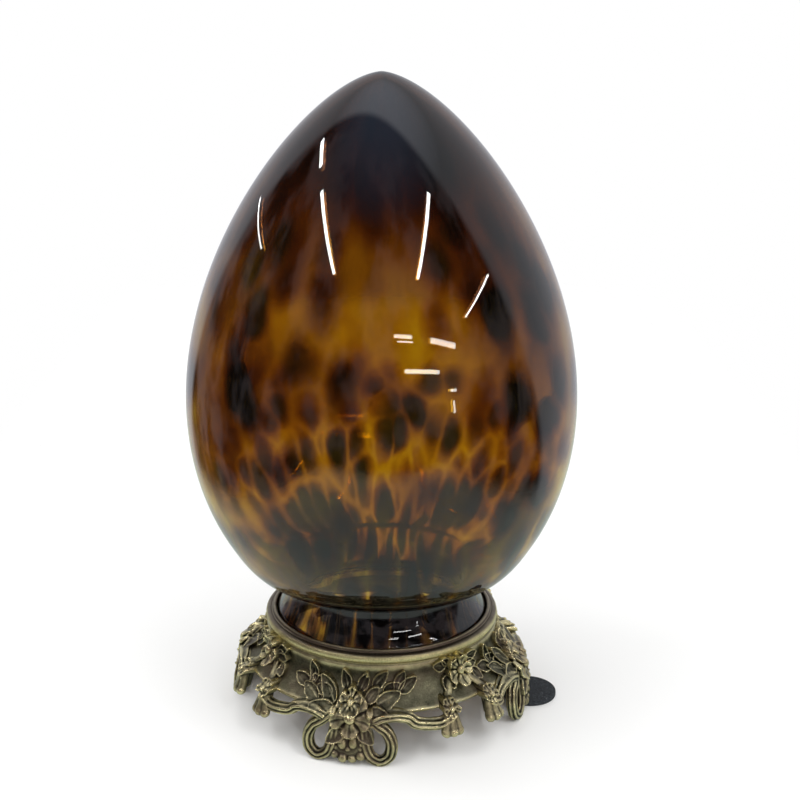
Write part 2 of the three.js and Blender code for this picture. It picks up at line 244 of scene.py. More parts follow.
def makeCastTree():
    tree, given, result = newTree("castAround", [
        ("Flat Motif", "Object"), ("Count", "Int"), ("Start", "Float"), ("Sway", "Float"),
        ("Layout Radius", "Float"), ("Top Radius", "Float"), ("Skirt Radius", "Float"),
        ("Foot Radius", "Float"), ("Top Height", "Float"), ("Edge Height", "Float"),
        ("Pad Place", "Vector"), ("Pad Reach", "Float"), ("Pad Room", "Float"),
        ("Unevenness", "Float"), ("Material", "Material")])
    motif = addNode(tree, "GeometryNodeObjectInfo", {"Object": given["Flat Motif"]})
    place = addNode(tree, "GeometryNodeInputPosition")
    flat = split(tree, place.outputs[0])
    relief = times(tree, flat["Y"], -1.0)
    marked = addNode(tree, "GeometryNodeStoreNamedAttribute", {
        "Geometry": motif.outputs["Geometry"], "Name": "relief",
        "Value": relief})
    points = addNode(tree, "GeometryNodePoints", {"Count": given["Count"]})
    index = addNode(tree, "GeometryNodeInputIndex")
    step = maths(tree, "DIVIDE", 2 * math.pi, given["Count"])
    swing = minus(tree, 1.0, times(tree, maths(tree, "MODULO", index.outputs[0], 2.0), 2.0))
    even = plus(tree, times(tree, index.outputs[0], step), given["Start"])
    uneven = plus(tree, even, times(tree, swing, given["Sway"]))
    turned = addNode(tree, "GeometryNodeStoreNamedAttribute", {
        "Geometry": points.outputs[0], "Name": "turn", "Value": uneven})
    copies = addNode(tree, "GeometryNodeInstanceOnPoints", {
        "Points": turned.outputs[0], "Instance": marked.outputs[0]})
    whole = addNode(tree, "GeometryNodeRealizeInstances", {0: copies.outputs[0]})
    turn = addNode(tree, "GeometryNodeInputNamedAttribute", {"Name": "turn"})
    angle = plus(tree, maths(tree, "DIVIDE", flat["X"], given["Layout Radius"]),
                 turn.outputs["Attribute"])
    height = flat["Z"]
    fall = remap(tree, height, given["Top Height"], given["Edge Height"])
    flare = times(tree, maths(tree, "POWER", fall, standRing["flarePower"]),
                  minus(tree, given["Skirt Radius"], given["Top Radius"]))
    drop = remap(tree, height, given["Edge Height"], 0.0)
    legs = times(tree, maths(tree, "SINE", times(tree, drop, math.pi / 2)),
                 minus(tree, given["Foot Radius"], given["Skirt Radius"]))
    face = plus(tree, given["Top Radius"], plus(tree, flare, legs))
    radius = plus(tree, face, relief)
    onTable = maths(tree, "MAXIMUM", height, 0.0)
    wrapped = combine(
        tree, X=times(tree, radius, maths(tree, "SINE", angle)),
        Y=times(tree, radius, times(tree, maths(tree, "COSINE", angle), -1.0)), Z=onTable)
    around = movePoints(tree, whole.outputs[0], Position=wrapped)
    noise = addNode(tree, "ShaderNodeTexNoise", {"Scale": bouquet["unevenScale"], "Detail": 1.0})
    centred = vectorMaths(tree, "SUBTRACT", noise.outputs["Color"], (0.5, 0.5, 0.5))
    shift = vectorMaths(tree, "SCALE", centred, given["Unevenness"])
    handmade = movePoints(tree, around, Offset=shift)
    spot = split(tree, place.outputs[0])
    level = combine(tree, X=spot["X"], Y=spot["Y"])
    away = vectorMaths(tree, "DISTANCE", level, given["Pad Place"])
    overPad = maths(tree, "LESS_THAN", away, given["Pad Reach"])
    lowest = times(tree, overPad, given["Pad Room"])
    trimmed = combine(tree, X=spot["X"], Y=spot["Y"], Z=maths(tree, "MAXIMUM", spot["Z"], lowest))
    filed = movePoints(tree, handmade, Position=trimmed)
    smooth = addNode(tree, "GeometryNodeSetShadeSmooth", {
        "Geometry": filed, "Shade Smooth": True}, domain="FACE")
    finishTree(tree, given, result, smooth.outputs[0])
    return tree


# Outlines

def drawCurve(name, lines):
    curve = bpy.data.curves.new(name, "CURVE")
    curve.dimensions = "3D"
    for line in lines:
        spline = curve.splines.new("POLY")
        spline.points.add(len(line) - 1)
        for point, place in zip(spline.points, line):
            point.co = (*place, 1.0)
    holder = bpy.data.objects.new(name, curve)
    scene.collection.objects.link(holder)
    return holder


# A profile point's curve radius carries how far along the outer skin it lies
def profileCurve(name, outline, alongSkin=None):
    holder = drawCurve(name, [[(r * mm, 0.0, z * mm) for r, z in outline]])
    for point, length in zip(holder.data.splines[0].points, alongSkin or []):
        point.radius = length * mm
    return holder


def bezier(points, steps):
    points = [np.array(p, float) for p in points]
    curve = []
    for i in range(1, steps + 1):
        row, t = points, i / steps
        while len(row) > 1:
            row = [a * (1 - t) + b * t for a, b in zip(row, row[1:])]
        curve.append(tuple(row[0]))
    return curve


def arc(centre, radius, fromDegrees, toDegrees, steps):
    turns = np.radians(np.linspace(fromDegrees, toDegrees, steps + 1))
    return [(centre[0] + radius * math.cos(t), centre[1] + radius * math.sin(t)) for t in turns]


def offsetInwards(outline, wall):
    points = np.array(outline)
    along = np.gradient(points, axis=0)
    along /= np.linalg.norm(along, axis=1, keepdims=True)
    inner = points + np.stack([along[:, 1], -along[:, 0]], axis=1) * wall
    inner[0] = (0.0, points[0, 1] - wall)
    inner[:, 0] = np.maximum(inner[:, 0], 0.0)
    return [tuple(p) for p in inner]


# Glass egg

eggShape = {
    "totalHeight": 355.6,
    "diameter": 215.0,
    "wall": 5.0,
    "neckDiameter": 108.0,
    "neckHeight": 77.0,
    "neckFillet": 3.5,
    "filletRise": 1.4,
    "neckSwell": 0.6,
    "sweepDivisor": 2.6,
    "sweepSteps": 22,
    "filletSteps": 8,
    "neckSteps": 12,
    "undersideDepth": 23.6,
    "bodyShare": 0.845,
    "bodySteps": 84,
    "tipCrowding": 1.7,
    "tipPower": 0.6236,
    "endPower": 0.4379,
    "shoulder": -0.302,
    "footRadius": 60.2,
    "footTop": 55.8,
    "footBottom": 51.6,
    "footEdge": 1.2,
    "turnSteps": 192,
    "wobble": 0.25,
    "wobbleScale": 14.0,
    "sharpAngle": 70,
}


def eggRadius(share):
    e = eggShape
    widest = e["tipPower"] / (e["tipPower"] + e["endPower"])
    tip = (share / widest) ** e["tipPower"]
    end = ((1 - share) / (1 - widest)) ** e["endPower"]
    return e["diameter"] / 2 * tip * end * (1 + e["shoulder"] * (share - widest) ** 2)


def eggOutline():
    e = eggShape
    closedEnd = e["neckHeight"] - e["undersideDepth"]
    length = e["totalHeight"] - closedEnd
    shares = e["bodyShare"] * np.linspace(0, 1, e["bodySteps"]) ** e["tipCrowding"]
    outline = [(eggRadius(s), e["totalHeight"] - length * s) for s in shares]
    neck = e["neckDiameter"] / 2
    bodyEnd = np.array(outline[-1])
    slope = bodyEnd - np.array(outline[-2])
    slope /= np.linalg.norm(slope)
    filletStart = np.array((neck + e["neckFillet"], e["neckHeight"] + e["filletRise"]))
    reach = np.linalg.norm(filletStart - bodyEnd) / e["sweepDivisor"]
    sweep = [bodyEnd, bodyEnd + slope * reach, filletStart + (reach, 1.0), filletStart]
    outline += bezier(sweep, e["sweepSteps"])
    filletEnd = (neck, e["neckHeight"] - e["neckFillet"])
    outline += bezier([filletStart, (neck, e["neckHeight"] + 1), filletEnd], e["filletSteps"])
    footTop = (e["footRadius"], e["footTop"])
    neckMiddle = (neck + e["neckSwell"], (filletEnd[1] + footTop[1]) / 2)
    outline += bezier([filletEnd, neckMiddle, footTop], e["neckSteps"])
    return outline


def turnPiece(name, shape, outline, turnedShape, material, alongSkin=None):
    profile = profileCurve(name + "Profile", outline, alongSkin)
    piece = runTree(name, turnedShape, {
        "Profile": profile, "Turn Steps": shape["turnSteps"], "Wobble": shape["wobble"] * mm,
        "Wobble Scale": shape["wobbleScale"], "Sharp Angle": math.radians(shape["sharpAngle"]),
        "Material": material})
    bpy.data.objects.remove(profile)
    return faceOutwards(piece)


def makeGlassEgg(turnedShape, material):
    e = eggShape
    outside = eggOutline()
    inside = offsetInwards(outside, e["wall"])
    bottom, turn = e["footBottom"], e["footEdge"]
    edge = [(e["footRadius"], bottom + turn)]
    edge += arc((e["footRadius"] - turn, bottom + turn), turn, 0, -90, 5)[1:]
    outline = outside + edge + [(inside[-1][0], bottom)] + inside[::-1]
    steps = [0.0] + [math.dist(a, b) for a, b in zip(outside, outside[1:])]
    alongSkin = list(np.cumsum(steps))
    alongSkin += [alongSkin[-1]] * (len(edge) + 1) + alongSkin[::-1]
    return turnPiece("glassEgg", e, outline, turnedShape, material, alongSkin)


# Cast stand: turned ring, and the ornament drawn flat and wrapped round it

standRing = {
    "rimHeight": 56.8,
    "lipRadius": 60.8,
    "beadRadius": 66.8,
    "ledgeHeight": 51.3,
    "ledgeWidth": 9.0,
    "skirtTopHeight": 43.7,
    "skirtTopRadius": 65.9,
    "skirtEdgeHeight": 28.0,
    "skirtRadius": 77.8,
    "footRadius": 84.0,
    "flarePower": 1.6,
    "wall": 3.4,
    "undercut": 0.3,
    "lipRound": 0.95,
    "lipToBead": [(2.0, 4.3), (2.35, 3.9), (2.8, 3.75)],
    "beadRound": 2.75,
    "beadRise": 1.0,
    "underBead": [(-1.35, -1.9), (-0.75, -2.5), (-0.5, -3.6), (-0.55, -5.0), (-0.85, -6.2)],
    "edgeRound": 1.1,
    "turnSteps": 288,
    "wobble": 0.3,
    "wobbleScale": 60.0,
    "sharpAngle": 50,
}


def skirtLine(steps, thickness):
    s = standRing
    line = []
    for share in np.linspace(0, 1, steps + 1):
        height = s["skirtTopHeight"] + (s["skirtEdgeHeight"] - s["skirtTopHeight"]) * share
        radius = s["skirtTopRadius"] + (s["skirtRadius"] - s["skirtTopRadius"]) * share ** s["flarePower"]
        line.append((radius - thickness, height - thickness * share * s["undercut"]))
    return line


def makeStandRing(turnedShape, material):
    s = standRing
    lip, ledge, bead = s["lipRadius"], s["ledgeHeight"], s["beadRadius"]
    lipRound, beadRound, edgeRound = s["lipRound"], s["beadRound"], s["edgeRound"]
    outline = [(lip - s["ledgeWidth"], ledge), (lip, ledge), (lip, s["rimHeight"] - 1.0)]
    outline += arc((lip + lipRound, s["rimHeight"] - lipRound), lipRound, 165, 5, 8)
    outline += [(lip + out, ledge + rise) for out, rise in s["lipToBead"]]
    outline += arc((bead - beadRound, ledge + s["beadRise"]), beadRound, 102, -62, 18)
    outline += [(bead + out, ledge + rise) for out, rise in s["underBead"]]
    outline += skirtLine(22, 0.0)
    outline += arc((s["skirtRadius"] - edgeRound, s["skirtEdgeHeight"] - 0.4), edgeRound, 0, -110, 6)
    outline += skirtLine(12, s["wall"])[::-1]
    outline += [(lip - s["ledgeWidth"], ledge - s["wall"]), (lip - s["ledgeWidth"], ledge)]
    return turnPiece("standRing", s, outline, turnedShape, material)


# A drawing is a list of closed skins, each a row of rings of (x, height, out) points

def addSkin(drawing, rings):
    rings = [np.array(ring, float) for ring in rings]
    count = len(rings[0])
    start = sum(len(r) for skin in drawing for r in skin["rings"])
    drawing.append({"rings": rings, "start": start, "count": count})


def drawingMesh(name, drawing):
    points, faces = [], []
    for skin in drawing:
        start, count = skin["start"], skin["count"]
        for ring in skin["rings"]:
            points += [(x * mm, -out * mm, height * mm) for x, height, out in ring]
        rows = len(skin["rings"])
        for row in range(rows - 1):
            base = start + row * count
            for i in range(count):
                j = (i + 1) % count
                faces.append((base + i, base + j, base + count + j, base + count + i))
        faces.append(tuple(start + i for i in reversed(range(count))))
        faces.append(tuple(start + (rows - 1) * count + i for i in range(count)))
    mesh = bpy.data.meshes.new(name)
    mesh.from_pydata(points, [], faces)
    mesh.update()
    return mesh


leafShape = {
    "rows": 26,
    "across": 10,
    "rim": 0.95,
    "rimWidth": 0.36,
    "midrib": 0.45,
    "rimPower": 1.5,
    "rimShare": 0.6,
    "dish": 1.15,
    "dishPower": 0.7,
    "base": -1.2,
    "ends": (0.015, 0.985),
    "widestBy": 0.78,
    "roundness": 0.8,
    "edgeHalf": 0.25,
    "heel": 0.74,
    "rise": 0.6,
    "riseShare": 0.45,
    "ribWidth": 0.12,
}


def addLeaf(drawing, root, tip, width, lift):
    f = leafShape
    root, tip = np.array(root, float), np.array(tip, float)
    length = np.linalg.norm(tip - root)
    along = (tip - root) / length
    across = np.array((-along[1], along[0]))
    rings = []
    for s in np.linspace(*f["ends"], f["rows"]):
        half = width / 2 * math.sin(math.pi * s ** f["widestBy"]) ** f["roundness"] + f["edgeHalf"]
        middle = root + along * length * s
        top, under = [], []
        for c in np.linspace(-1, 1, f["across"] * 2 + 1):
            side = abs(c)
            hollow = f["dish"] * (1 - side ** 2) * math.sin(math.pi * s) ** f["dishPower"]
            rib = f["midrib"] * math.exp(-(c / f["ribWidth"]) ** 2) * (1 - s)
            raised = max(0.0, (side - 1 + f["rimWidth"]) / f["rimWidth"]) ** f["rimPower"]
            rim = f["rim"] * raised * f["rimShare"]
            out = lift * (f["heel"] + f["rise"] * s * f["riseShare"]) - hollow + rib + rim
            x, height = middle + across * half * c
            top.append((x, height, out))
        for c in np.linspace(1, -1, 5):
            x, height = middle + across * half * c
            under.append((x, height, f["base"]))
        rings.append(top + under)
    addSkin(drawing, rings)


flowerShape = {
    "petals": 5,
    "petalSides": 20,
    "rings": (0.02, 0.12, 0.2, 0.28, 0.36, 0.46, 0.56, 0.66, 0.76, 0.85, 0.93, 1.0),
    "innerEdge": 0.66,
    "lobe": 0.34,
    "lobePower": 0.5,
    "dish": 0.13,
    "dishWidth": 0.2,
    "dishPower": 0.4,
    "notch": 0.62,
    "notchPower": 3.4,
    "crease": 0.10,
    "creaseWidth": 0.02,
    "top": 0.86,
    "heartDip": 0.12,
    "edgeRise": 0.1,
    "under": -1.4,
    "heart": 0.14,
}


def addFlower(drawing, x, height, diameter, lift, turn=0.0):
    f = flowerShape
    petals, inner = f["petals"], f["innerEdge"]
    angles = np.linspace(0, 2 * math.pi, petals * f["petalSides"], endpoint=False)
    rings = []
    for reach in f["rings"]:
        ring = []
        for a in angles:
            petal = abs(math.cos(petals * (a - turn) / 2))
            edge = diameter / 2 * (inner + f["lobe"] * petal ** f["lobePower"])
            hollow = math.exp(-((reach - inner) / f["dishWidth"]) ** 2)
            dish = f["dish"] * hollow * petal ** f["dishPower"]
            notch = f["notch"] * (1 - petal) ** f["notchPower"] * min(1.0, reach * 1.5)
            crease = f["crease"] * math.exp(-((1 - petal) / f["creaseWidth"]) ** 2) * reach
            out = lift * (f["top"] - dish - notch - crease - f["heartDip"] * (1 - reach)
                          + f["edgeRise"] * reach ** 3)
            ring.append((x + edge * reach * math.sin(a), height + edge * reach * math.cos(a), out))
        rings.append(ring)
    under = [(px, ph, f["under"]) for px, ph, out in rings[-1]]
    inmost = f["rings"][0]
    centre = [(x + (px - x) * inmost, height + (ph - height) * inmost, f["under"])
              for px, ph, out in rings[-1]]
    addSkin(drawing, rings + [under, centre])
    addBall(drawing, (x, height, lift * f["top"]), diameter * f["heart"], flatten=0.8)


roundSides = 16


def addBall(drawing, centre, radius, flatten=1.0, stretch=1.0):
    rings = []
    for polar in np.radians(np.linspace(4, 176, 11)):
        ring = []
        for turn in np.linspace(0, 2 * math.pi, roundSides, endpoint=False):
            u = radius * math.sin(polar) * math.cos(turn)
            v = radius * math.cos(polar) * stretch
            w = radius * math.sin(polar) * math.sin(turn) * flatten
            ring.append((centre[0] + u, centre[1] + v, centre[2] + w))
        rings.append(ring)
    addSkin(drawing, rings)


def addRod(drawing, points, radii):
    points = np.array(points, float)
    along = np.gradient(points, axis=0)
    along /= np.linalg.norm(along, axis=1, keepdims=True)
    rings = []
    for place, way, radius in zip(points, along, radii):
        side = np.cross(way, (0.0, 0.0, 1.0))
        side /= np.linalg.norm(side)
        front = np.cross(side, way)
        rings.append([place + radius * (side * math.cos(t) + front * math.sin(t))
                      for t in np.linspace(0, 2 * math.pi, roundSides, endpoint=False)])
    addSkin(drawing, rings)


def addPlate(drawing, outline, centre, base, edge, crown):
    outline, centre = np.array(outline, float), np.array(centre, float)
    rings = []
    for share, out in ((0.04, base), (1.0, base), (1.0, edge), (0.9, edge + (crown - edge) * 0.5),
                       (0.6, crown), (0.04, crown)):
        rings.append([(*(centre + (p - centre) * share), out) for p in outline])
    addSkin(drawing, rings)


bouquet = {
    "strapWidth": 6.4,
    "reeds": 7,
    "reedDepth": 0.34,
    "strapStep": 0.9,
    "strapSides": 64,
    "pathSteps": 24,
    "voxel": 0.36,
    "softening": 0.4,
    "keptFaces": 0.5,
    "flowerDiameter": 21.0,
    "flowerPlace": (0.8, 26.6),
    "flowerLift": 6.2,
    "upperDiameter": 13.0,
    "upperPlace": (0.0, 33.4),
    "upperLift": 7.2,
    "lobeCentre": (0, 14),
    "lobeRelief": (-1.4, 0.6, 2.2),
    "pawSpacing": 25.6,
    "layoutRadius": 76.0,
    "unevenness": 0.5,
    "unevenScale": 190.0,
}

# Leaves of the bouquet: root, tip, width, lift
bouquetLeaves = [
    ((-27, 35.8), (-39, 38.8), 5.6, 2.6),
    ((-24.5, 37), (-28.6, 48), 5.8, 2.4),
    ((-19, 31), (-30.5, 36.6), 6.0, 3.2),
    ((-9, 31), (-20.5, 42.5), 7.2, 3.6),
    ((-12, 34), (-22, 36.5), 5.4, 2.4),
    ((-18, 35), (-27, 40.5), 5.2, 2.0),
    ((-3, 36.5), (-7.2, 47), 6.0, 2.6),
    ((3.8, 36.5), (8.2, 45.8), 6.0, 2.6),
    ((8, 32.5), (15, 39.2), 5.6, 3.8),
    ((13.5, 31.5), (27.5, 36.6), 6.6, 3.4),
    ((11, 37.5), (20.4, 46.6), 6.0, 2.0),
    ((24.5, 37), (30.3, 46.6), 6.0, 2.6),
    ((26.5, 36), (37.8, 42.8), 6.0, 2.6),
    ((17, 36), (27.5, 40), 5.0, 2.0),
    ((-7.5, 27.6), (-22.4, 29.4), 7.0, 4.2),
    ((8, 27.4), (20.6, 27.8), 7.4, 4.4),
    ((-2.5, 20), (-10.4, 11.8), 7.2, 4.4),
    ((5, 21), (12.4, 13.4), 6.8, 4.4),
]

# Berries of the bouquet: place across, height, place outwards, radius, stretch
bouquetBerries = [
    (-8.6, 28.6, 4.6, 1.9, 1.3), (10.4, 28.8, 4.6, 1.9, 1.3), (-2.7, 12.2, 2.0, 2.2, 1.5),
    (2.6, 12.8, 2.0, 2.1, 1.5), (0, 9.2, 1.2, 1.8, 1.0), (-6.2, 5.4, 1.0, 2.3, 1.0),
    (-2.4, 3.9, 1.2, 2.5, 1.1), (2.2, 3.9, 1.0, 2.4, 1.0), (6.4, 5.6, 1.0, 2.4, 1.1),
    (-5.8, 9.4, 0.8, 1.7, 1.2), (6.2, 9.8, 0.8, 1.7, 1.2),
]

# Outline of the lobe that backs the berries
lobeOutline = [
    (-5.5, 31), (-5.4, 25), (-5, 20), (-7, 16.4), (-8.6, 13), (-7.5, 10.5), (-8.6, 7.5),
    (-8.2, 4.4), (-5.4, 2.6), (-2, 2), (2.6, 2), (6.2, 3), (8.4, 5.4), (8.3, 8.6),
    (7.6, 11.5), (9.4, 14.5), (7, 17.5), (5.5, 20), (5.5, 25), (5.5, 31),
]


def footLoop(side):
    loop = [(6.5, 26, 0.8), (7.2, 19, 0.6), (8.4, 11.5, 0.2), (10.8, 5.4, 0), (15.6, 2.7, 0),
            (20.0, 5.6, 0), (21.3, 12.2, 0.4), (19.0, 18.6, 0.8), (14.6, 22.4, 1.2), (9.5, 27, 0.8)]
    return [(side * x, height, out) for x, height, out in loop]


def sideStem(side, toGarland):
    pawX = math.radians(toGarland) * bouquet["layoutRadius"] - bouquet["pawSpacing"] / 2
    stem = [(13, 24.6, 1.6), (18, 26.8, 2.0), (24.5, 27.2, 2.0), (30, 25.6, 1.4), (34.5, 22.4, 1.4),
            (pawX - 7, 20.8, 1.8), (pawX - 2, 22.2, 2.6), (pawX + 1, 24.4, 3.2)]
    return [(side * x, height, out) for x, height, out in stem]


def drawBouquet(toGarland):
    b, drawing = bouquet, []
    addPlate(drawing, lobeOutline, b["lobeCentre"], *b["lobeRelief"])
    for root, tip, width, lift in bouquetLeaves:
        addLeaf(drawing, root, tip, width, lift)
    addFlower(drawing, *b["flowerPlace"], b["flowerDiameter"], b["flowerLift"], turn=math.pi)
    addFlower(drawing, *b["upperPlace"], b["upperDiameter"], b["upperLift"])
    for x, height, out, radius, stretch in bouquetBerries:
        addBall(drawing, (x, height, out), radius, stretch=stretch)
    straps = [footLoop(side) for side in (-1, 1)] + [sideStem(side, toGarland) for side in (-1, 1)]
    return drawing, straps


garland = {
    "flowerDiameter": 17.0,
    "flowerHeight": 43.0,
    "flowerLift": 7.0,
    "flowerTurn": 0.4,
    "pawFlowerDiameter": 9.6,
    "pawFlowerHeight": 28.5,
    "pawFlowerLift": 7.6,
    "pawFlowerTurn": 0.6,
    "pawTop": 29.5,
    "pawBottom": 13.6,
    "toeSpread": 3.3,
    "toeRoots": 1.5,
    "toeRadius": 2.1,
    "toeSwell": 0.55,
    "toeEnd": 2.4,
    "toeLean": 0.5,
    "toeBend": 1.6,
    "toeOut": 3.0,
    "toeArch": 0.4,
    "toeTip": 2.75,
    "tipRise": 2.5,
    "tipOut": 3.6,
    "middleToe": 0.8,
    "palmRadii": (2.8, 3.2, 3.6),
    "angle": 48.8,
}

# Leaves of the garland: root, tip, width, lift
garlandLeaves = [
    ((6.5, 45.2), (16.4, 48.2), 5.6, 3.4),
    ((5.5, 43.6), (16, 41.6), 5.4, 3.2),
    ((-7.5, 45), (-17, 47.2), 6.0, 3.0),
    ((-6, 46.5), (-11, 49.5), 4.6, 3.0),
    ((-7.5, 40), (-10.8, 33.2), 5.6, 3.2),
    ((-5, 38.5), (-5.4, 33.5), 4.6, 2.8),
    ((11.5, 39), (16.6, 34), 5.0, 3.0),
    ((5, 38.8), (8, 34.4), 4.8, 2.8),
]


def addPaw(drawing, x, side):
    g = garland
    top, low = g["pawTop"], g["pawBottom"] + g["toeEnd"]
    for toe in (-1, 0, 1):
        spread = toe * g["toeSpread"] + side * g["toeLean"]
        root = toe * g["toeRoots"]
        forward = g["middleToe"] if toe == 0 else 0.0
        path, radii = [], []
        for share in np.linspace(0, 1, 9):
            path.append((x + root + (spread - root) * share ** g["toeBend"], top + (low - top) * share,
                         g["toeOut"] + g["toeArch"] * share ** 2 + forward * share))
            radii.append(g["toeRadius"] + g["toeSwell"] * share ** 2)
        addRod(drawing, path, radii)
        addBall(drawing, (x + spread, g["pawBottom"] + g["tipRise"], g["tipOut"] + forward), g["toeTip"])
    palm = [(x, g["pawTop"], 0.5), (x, 22, 0.8), (x, g["pawBottom"] + 4, 1.2)]
    addRod(drawing, palm, g["palmRadii"])


def drawGarland():
    g, drawing = garland, []
    for root, tip, width, lift in garlandLeaves:
        addLeaf(drawing, root, tip, width, lift)
    addFlower(drawing, 0.0, g["flowerHeight"], g["flowerDiameter"], g["flowerLift"], g["flowerTurn"])
    for side in (-1, 1):
        x = side * bouquet["pawSpacing"] / 2
        addPaw(drawing, x, side)
        addFlower(drawing, x, g["pawFlowerHeight"], g["pawFlowerDiameter"], g["pawFlowerLift"],
                  g["pawFlowerTurn"])
        addRod(drawing, [(side * 6, 38.5, 1.6), (side * 9, 35, 2.4), (x, 31, 3.4)], [1.6, 1.7, 1.8])
    return drawing, []


# The straps and the drawn skins are melted into one casting while flat, then bent round the ring
def castOrnament(name, motif, trees, places, material):
    b = bouquet
    strapTree, castTree = trees
    drawing, straps = motif
    count, start, sway = places
    flat = bpy.data.objects.new(name + "Flat", drawingMesh(name + "Flat", drawing))
    scene.collection.objects.link(flat)
    if straps:
        lines = [[(x * mm, -out * mm, height * mm) for x, height, out in strap] for strap in straps]
        paths = drawCurve(name + "Paths", lines)
        reeded = runTree(name + "Straps", strapTree, {
            "Paths": paths, "Strap Width": b["strapWidth"] * mm, "Reeds": b["reeds"],
            "Reed Depth": b["reedDepth"], "Step Length": b["strapStep"] * mm, "Material": material})
        with bpy.context.temp_override(active_object=flat, selected_editable_objects=[flat, reeded]):
            bpy.ops.object.join()
        bpy.data.objects.remove(paths)
    remesh = flat.modifiers.new("oneCasting", "REMESH")
    remesh.mode = "VOXEL"
    remesh.voxel_size = b["voxel"] * mm
    softened = flat.modifiers.new("softened", "SMOOTH")
    softened.factor = b["softening"]
    softened.iterations = 1
    lighter = flat.modifiers.new("lighter", "DECIMATE")
    lighter.ratio = b["keptFaces"]
    settle(flat)
    flat.data.validate()
    s, p = standRing, feltPad
    cast = runTree(name, castTree, {
        "Flat Motif": flat, "Count": count, "Start": math.radians(start),
        "Sway": math.radians(sway), "Layout Radius": b["layoutRadius"] * mm,
        "Top Radius": s["skirtTopRadius"] * mm, "Skirt Radius": s["skirtRadius"] * mm,
        "Foot Radius": s["footRadius"] * mm, "Top Height": s["skirtTopHeight"] * mm,
        "Edge Height": s["skirtEdgeHeight"] * mm, "Pad Place": padCentre(),
        "Pad Reach": (p["diameter"] / 2 + p["gap"]) * mm, "Pad Room": (p["thickness"] + p["gap"]) * mm,
        "Unevenness": b["unevenness"] * mm, "Material": material})
    bpy.data.objects.remove(flat)
    cast.data.validate()
    return faceOutwards(cast)


# Felt pad under one foot

feltPad = {
    "diameter": 32.0,
    "thickness": 3.0,
    "angle": 98.8,
    "reach": 86.2,
    "gap": 0.3,
    "topRound": 0.9,
    "bottomRound": 0.5,
    "turnSteps": 96,
    "wobble": 0.25,
    "wobbleScale": 180.0,
    "sharpAngle": 60,
}


def padCentre():
    angle = math.radians(feltPad["angle"])
    reach = feltPad["reach"] * mm
    return (reach * math.sin(angle), -reach * math.cos(angle), 0.0)


def makeFeltPad(turnedShape, material):
    p = feltPad
    radius, top = p["diameter"] / 2, p["thickness"]
    upper, lower = p["topRound"], p["bottomRound"]
    outline = [(0.0, top)] + [(r, top) for r in np.linspace(1, radius - 1.2, 16)]
    outline += arc((radius - upper, top - upper), upper, 80, 0, 5)
    outline += arc((radius - lower, lower), lower, 0, -90, 4) + [(0.0, 0.0)]
    pad = turnPiece("feltPad", p, outline, turnedShape, material)
    for vertex in pad.data.vertices:
        vertex.co += Vector(padCentre())
    return pad


# Finishes

def newMaterial(name):
    material = bpy.data.materials.new(name)
    material.use_nodes = True
    tree = material.node_tree
    shader = tree.nodes["Principled BSDF"]
    return material, tree, shader


# A noise as bump, its distance in metres
def roughen(tree, shader, noise, strength, distance):
    bump = addNode(tree, "ShaderNodeBump", {
        "Height": noise.outputs["Fac"], "Strength": strength, "Distance": distance})
    feed(tree, shader.inputs["Normal"], bump.outputs[0])


def objectPlace(tree, turn=0.0):
    where = addNode(tree, "ShaderNodeTexCoord")
    mapping = addNode(tree, "ShaderNodeMapping", {
        "Vector": where.outputs["Object"], "Rotation": (0.0, 0.0, turn)})
    return mapping.outputs[0]


def noiseAt(tree, place, scale, detail=2.0, roughness=0.5):
    return addNode(tree, "ShaderNodeTexNoise", {
        "Vector": place, "Scale": scale, "Detail": detail, "Roughness": roughness})


def ramp(tree, value, stops):
    stops = list(stops)
    node = addNode(tree, "ShaderNodeValToRGB")
    while len(node.color_ramp.elements) < len(stops):
        node.color_ramp.elements.new(0.5)
    for element, (place, colour) in zip(node.color_ramp.elements, stops):
        element.position = place
        element.color = (*colour, 1.0)
    feed(tree, node.inputs["Fac"], value)
    return node.outputs["Color"]


glassFinish = {
    "gold": (0.67, 0.435, 0.046),
    "amber": (0.51, 0.262, 0.030),
    "brown": (0.26, 0.108, 0.027),
    "dark": (0.095, 0.036, 0.017),
    "black": (0.009, 0.009, 0.011),
    "tones": (0.0, 0.16, 0.34, 0.64, 0.95),
    "wrapFrom": (0.19, 0.30),
    "wrapRadius": (0.095, 0.150),
    "driftScale": 34.0,
    "driftReach": (0.011, 0.011, 0.013),
    "spotWidth": 0.0215,
    "spotLength": 0.042,
    "spotFade": (0.16, 0.72, 0.32, 0.92),
    "bareCells": (0.62, 0.85, 0.0, 0.75),
    "thinVeins": (0.0, 0.14, 0.42, 0.0),
    "wideVeins": (0.26, 0.78, 0.04, 0.68),
    "veinClouds": (0.30, 0.52, 0.25, 1.0),
    "patchShift": (0.77, 0.41, 0.0),
    "patchScale": 12.5,
    "patchMiddle": 0.52,
    "patchStrength": 2.6,
    "netHeight": (0.158, 0.108),
    "netPatches": 0.35,
    "crownFade": (0.225, 0.318, 1.0, 0.18),
    # Painted shade: the glass colour darkens down the underside towards the neck
    "neckShadeFade": (0.105, 0.078, 0.0, 0.38),
    "roughness": 0.02,
    "index": 1.5,
}


